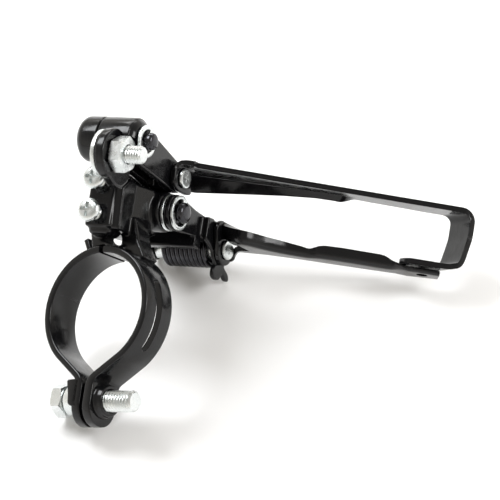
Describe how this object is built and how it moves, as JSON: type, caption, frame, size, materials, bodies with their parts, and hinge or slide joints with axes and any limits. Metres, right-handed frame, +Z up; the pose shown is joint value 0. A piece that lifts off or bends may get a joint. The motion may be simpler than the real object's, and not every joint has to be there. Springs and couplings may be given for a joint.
{
  "type": "front derailleur",
  "caption": "Front derailleur with a hinged band clamp, a parallelogram linkage, a two-plate chain cage, a cable anchor and limit screws.",
  "frame": {"origin": "middle of the bounding box footprint, on the level surface that the part lies on", "axes": "+Z up from the surface; +X towards the tail of the chain cage; +Y away from the clamp, towards the linkage"},
  "size_m": [0.1192, 0.075, 0.0662],
  "materials": {
    "black_paint": "gloss black paint over pressed and cast steel",
    "zinc_plate": "bright zinc plated steel",
    "black_steel": "black oxide spring steel"
  },
  "bodies": {
    "fixed_body": {"fixed_body": "black_paint", "outer_pivot_pin": "black_steel", "inner_pivot_pin": "black_steel", "outer_pivot_clip": "zinc_plate", "inner_pivot_clip": "zinc_plate", "inner_pivot_washer": "zinc_plate"},
    "clamp_band": {"clamp_band": "black_paint"},
    "clamp_bolt": {"clamp_bolt": "zinc_plate", "clamp_collar": "zinc_plate"},
    "outer_link": {"outer_link": "black_paint", "cable_arm": "black_paint", "cable_anchor_nut": "zinc_plate", "cable_anchor_washer": "zinc_plate", "cable_anchor_bolt": "zinc_plate"},
    "inner_link": {"inner_link": "black_paint", "return_spring": "black_steel"},
    "cage": {"cage_outer_plate": "black_paint", "cage_inner_plate": "black_paint", "cage_outer_rivet": "zinc_plate", "cage_inner_rivet": "zinc_plate", "spring_bushing": "zinc_plate"},
    "high_limit_screw": {"high_limit_screw": "zinc_plate"},
    "low_limit_screw": {"low_limit_screw": "zinc_plate"}
  },
  "joints": [
    {"name": "outer_link_swing", "type": "hinge", "parent": "fixed_body", "child": "outer_link", "pos_m": [-0.03447, 0.02508, 0.05527], "axis": [0.8943, -0.3524, 0.2757], "range_deg": [0, 36], "stiffness_Nm_per_rad": 0.6, "springref_deg": -28.65},
    {"name": "inner_link_swing", "type": "hinge", "parent": "fixed_body", "child": "inner_link", "pos_m": [-0.02781, 0.02152, 0.02912], "axis": [0.8943, -0.3524, 0.2757], "range_deg": [0, 36]},
    {"name": "cage_pivot", "type": "hinge", "parent": "outer_link", "child": "cage", "pos_m": [-0.02581, 0.03005, 0.03351], "axis": [0.8943, -0.3524, 0.2757], "range_deg": [-36, 0]},
    {"name": "clamp_bolt_travel", "type": "slide", "parent": "fixed_body", "child": "clamp_bolt", "axis": [-0.8103, 0.4129, -0.4159], "range_m": [0, 0.0075]},
    {"name": "clamp_band_hinge", "type": "hinge", "parent": "fixed_body", "child": "clamp_band", "pos_m": [-0.0447, 0.01235, 0.02731], "axis": [0.5549, 0.3121, -0.7712], "range_deg": [0, 8]},
    {"name": "high_limit_screw_travel", "type": "slide", "parent": "fixed_body", "child": "high_limit_screw", "axis": [-0.4057, -0.3791, 0.8317], "range_m": [-0.0012, 0.0015]},
    {"name": "low_limit_screw_travel", "type": "slide", "parent": "fixed_body", "child": "low_limit_screw", "axis": [-0.4057, -0.3791, 0.8317], "range_m": [-0.0012, 0.0015]}
  ],
  "couplings": [
    {"joint": "inner_link_swing", "follows": "outer_link_swing", "ratio": 1},
    {"joint": "cage_pivot", "follows": "outer_link_swing", "ratio": -1},
    {"joint": "clamp_band_hinge", "follows": "clamp_bolt_travel", "rad_per_m": 18.617}
  ]
}
